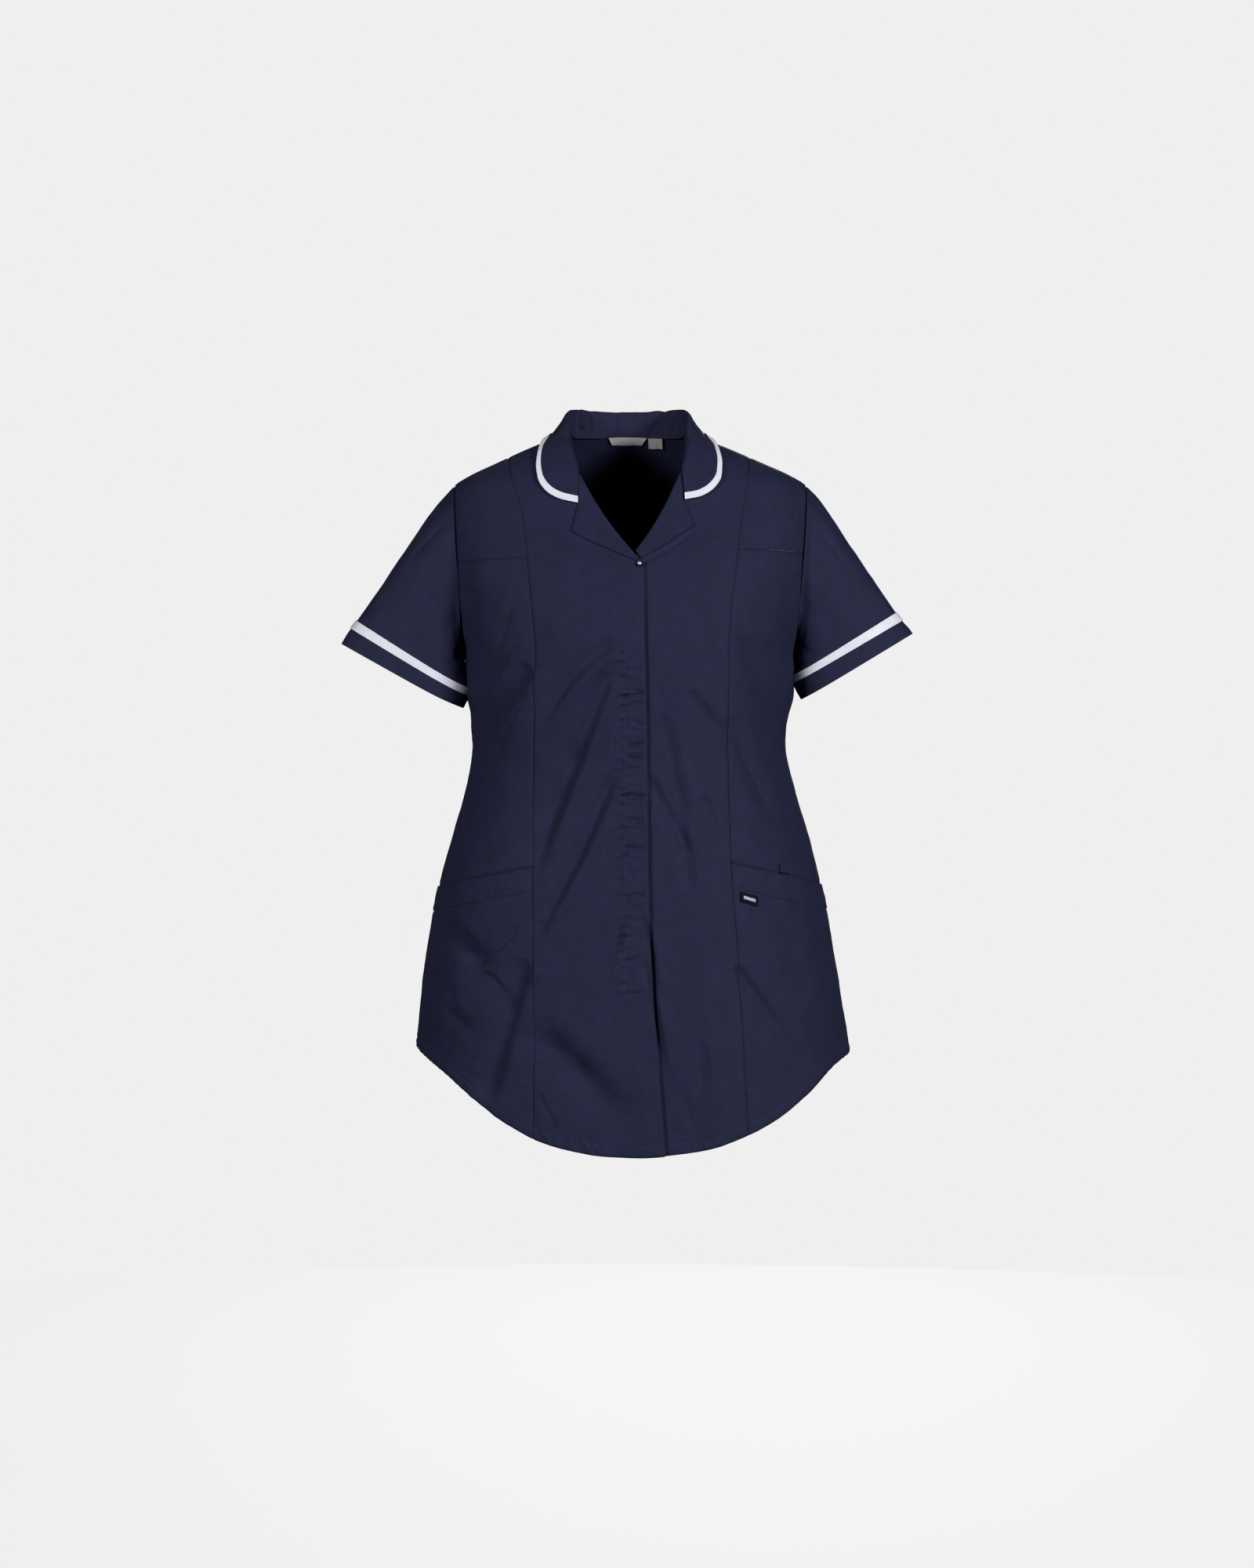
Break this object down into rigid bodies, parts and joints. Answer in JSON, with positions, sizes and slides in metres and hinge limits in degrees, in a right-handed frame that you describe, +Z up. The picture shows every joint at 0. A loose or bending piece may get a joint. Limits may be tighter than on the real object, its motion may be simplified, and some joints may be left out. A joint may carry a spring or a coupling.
{
  "type": "maternity tunic",
  "caption": "Short-sleeved front-fastening maternity tunic with a notched collar, lapels, shaped side panels, pockets and a curved hem, filled out as when worn.",
  "frame": {"origin": "midway between the two points where the shoulder seams meet the neck, where the wearer's shoulders hold the tunic up", "axes": "+X to the wearer's left, +Y to the back (the front faces -Y), +Z up"},
  "size_m": [0.6534, 0.3012, 0.8469],
  "materials": {
    "navy_poplin": "woven polyester-cotton, matt with a faint sheen",
    "white_tape": "woven satin-edged tape",
    "cream_label": "woven label, blank",
    "stud_metal": "pressed and plated press stud"
  },
  "bodies": {
    "root": {"back": "navy_poplin", "collar": "navy_poplin", "collar_tape": "white_tape", "front_left": "navy_poplin", "front_right": "navy_poplin", "lapel_left": "navy_poplin", "lapel_right": "navy_poplin", "neck_label": "white_tape", "pocket_label": "navy_poplin", "pocket_left": "navy_poplin", "pocket_right": "navy_poplin", "pocket_tab": "navy_poplin", "press_stud": "stud_metal", "side_front_lower_left": "navy_poplin", "side_front_lower_right": "navy_poplin", "side_front_upper_left": "navy_poplin", "side_front_upper_right": "navy_poplin", "size_label": "cream_label", "sleeve_left": "navy_poplin", "sleeve_right": "navy_poplin", "sleeve_tape_left": "white_tape", "sleeve_tape_right": "white_tape"}
  },
  "joints": []
}
